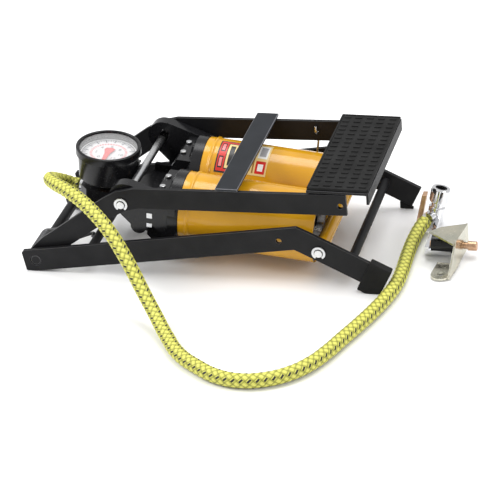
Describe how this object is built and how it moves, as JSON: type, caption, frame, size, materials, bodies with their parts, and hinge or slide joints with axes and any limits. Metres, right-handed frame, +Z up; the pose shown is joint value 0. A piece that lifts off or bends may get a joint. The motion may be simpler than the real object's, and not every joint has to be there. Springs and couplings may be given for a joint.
{
  "type": "foot pump",
  "caption": "Twin-barrel foot-operated tyre inflator: two hinged frames, paired pumps, dial gauge, braided hose and lever chuck.",
  "frame": {"origin": "centre of the pump's footprint on the surface it stands on, without the hose", "axes": "+X along the pump from the hinged heel to the feet, +Y to the side away from the hose loop, +Z up"},
  "size_m": [0.3377, 0.274, 0.0818],
  "materials": {
    "frame_black": "black powder coat, slight gloss",
    "strap_grey": "dark grey powder coat",
    "steel": "bright zinc plate",
    "spring_steel": "dark spring steel",
    "barrel_yellow": "glossy yellow-orange paint",
    "black_plastic": "moulded black plastic",
    "black_rubber": "black rubber",
    "brass": "bare copper alloy",
    "label": "printed label, colour blocks only",
    "dial": "white printed dial",
    "needle_red": "red enamel",
    "lens": "clear lens",
    "hose_braid": "yellow-green braid with black tracers",
    "chrome": "bright chrome plate",
    "zinc": "yellow zinc plate"
  },
  "bodies": {
    "base": {"base_arm_near": "frame_black", "base_arm_far": "frame_black", "axle_clip_near": "steel", "axle_clip_far": "steel", "heel_shaft": "frame_black", "stay_rod": "frame_black", "foot_tie_rod": "frame_black", "rod_axle": "steel", "foot_boot_near": "black_rubber", "foot_pad_far": "black_rubber", "hose_run": "hose_braid", "chuck_body": "chrome", "chuck_seal": "black_rubber", "chuck_clip": "brass", "lever_pin": "brass", "cam_roller": "black_plastic"},
    "pedal_frame": {"pedal_arm_near": "frame_black", "pedal_arm_far": "frame_black", "return_spring_near": "spring_steel", "return_spring_far": "spring_steel", "head_shaft_clip_near": "steel", "head_shaft_clip_far": "steel", "cross_strap": "strap_grey", "pedal_plate": "frame_black", "pedal_pad": "black_rubber", "head_shaft": "steel"},
    "latch": {"latch_wire": "steel"},
    "pistons": {"piston_near": "black_plastic", "piston_far": "black_plastic", "piston_seal_near": "black_rubber", "piston_seal_far": "black_rubber", "piston_rod_near": "steel", "piston_rod_far": "steel", "cross_tube": "barrel_yellow"},
    "cylinders": {"barrel_near": "barrel_yellow", "barrel_far": "barrel_yellow", "rod_guide_near": "black_plastic", "rod_guide_far": "black_plastic", "head_near": "black_plastic", "head_far": "black_plastic", "check_valve_near": "black_rubber", "check_valve_far": "black_rubber", "air_manifold": "black_plastic", "label_badge": "label", "label_data": "label", "head_screw_1": "steel", "head_screw_2": "steel", "head_screw_3": "steel", "head_screw_4": "steel", "gauge_stem": "brass", "gauge_case": "black_plastic", "gauge_bezel": "black_plastic", "gauge_lens": "lens", "gauge_dial": "dial", "bourdon_tube": "brass", "hose_barb": "brass", "hose_lead": "hose_braid"},
    "needle": {"gauge_needle": "needle_red", "gauge_arbor": "steel"},
    "chuck_lever": {"chuck_lever": "zinc"}
  },
  "joints": [
    {"name": "pedal_hinge", "type": "hinge", "parent": "base", "child": "pedal_frame", "pos_m": [-0.1322, 0, 0.0095], "axis": [0, -1, 0], "range_deg": [0, 35], "deforming": ["hose_lead", "return_spring_near", "return_spring_far"]},
    {"name": "rod_swing", "type": "hinge", "parent": "base", "child": "pistons", "pos_m": [0.0893, 0, 0.031], "axis": [0, 1, 0], "range_deg": [0, 8]},
    {"name": "barrel_slide", "type": "slide", "parent": "pistons", "child": "cylinders", "axis": [-0.9945, 0, 0.1045], "range_m": [0, 0.0483]},
    {"name": "latch_pivot", "type": "hinge", "parent": "pedal_frame", "child": "latch", "pos_m": [0.0613, 0, 0.066], "axis": [0, 1, 0], "range_deg": [-40, 40]},
    {"name": "needle_spin", "type": "hinge", "parent": "cylinders", "child": "needle", "pos_m": [-0.08754, 0, 0.07623], "axis": [-0.1045, 0, -0.9945], "range_deg": [0, 270]},
    {"name": "chuck_lever_pivot", "type": "hinge", "parent": "base", "child": "chuck_lever", "pos_m": [0.1683, -0.005, 0.0095], "axis": [-1, 0, 0], "range_deg": [0, 40]}
  ],
  "couplings": [
    {"joint": "rod_swing", "follows": "pedal_hinge", "ratio": 0.22712},
    {"joint": "barrel_slide", "follows": "pedal_hinge", "m_per_rad": 0.078664}
  ]
}
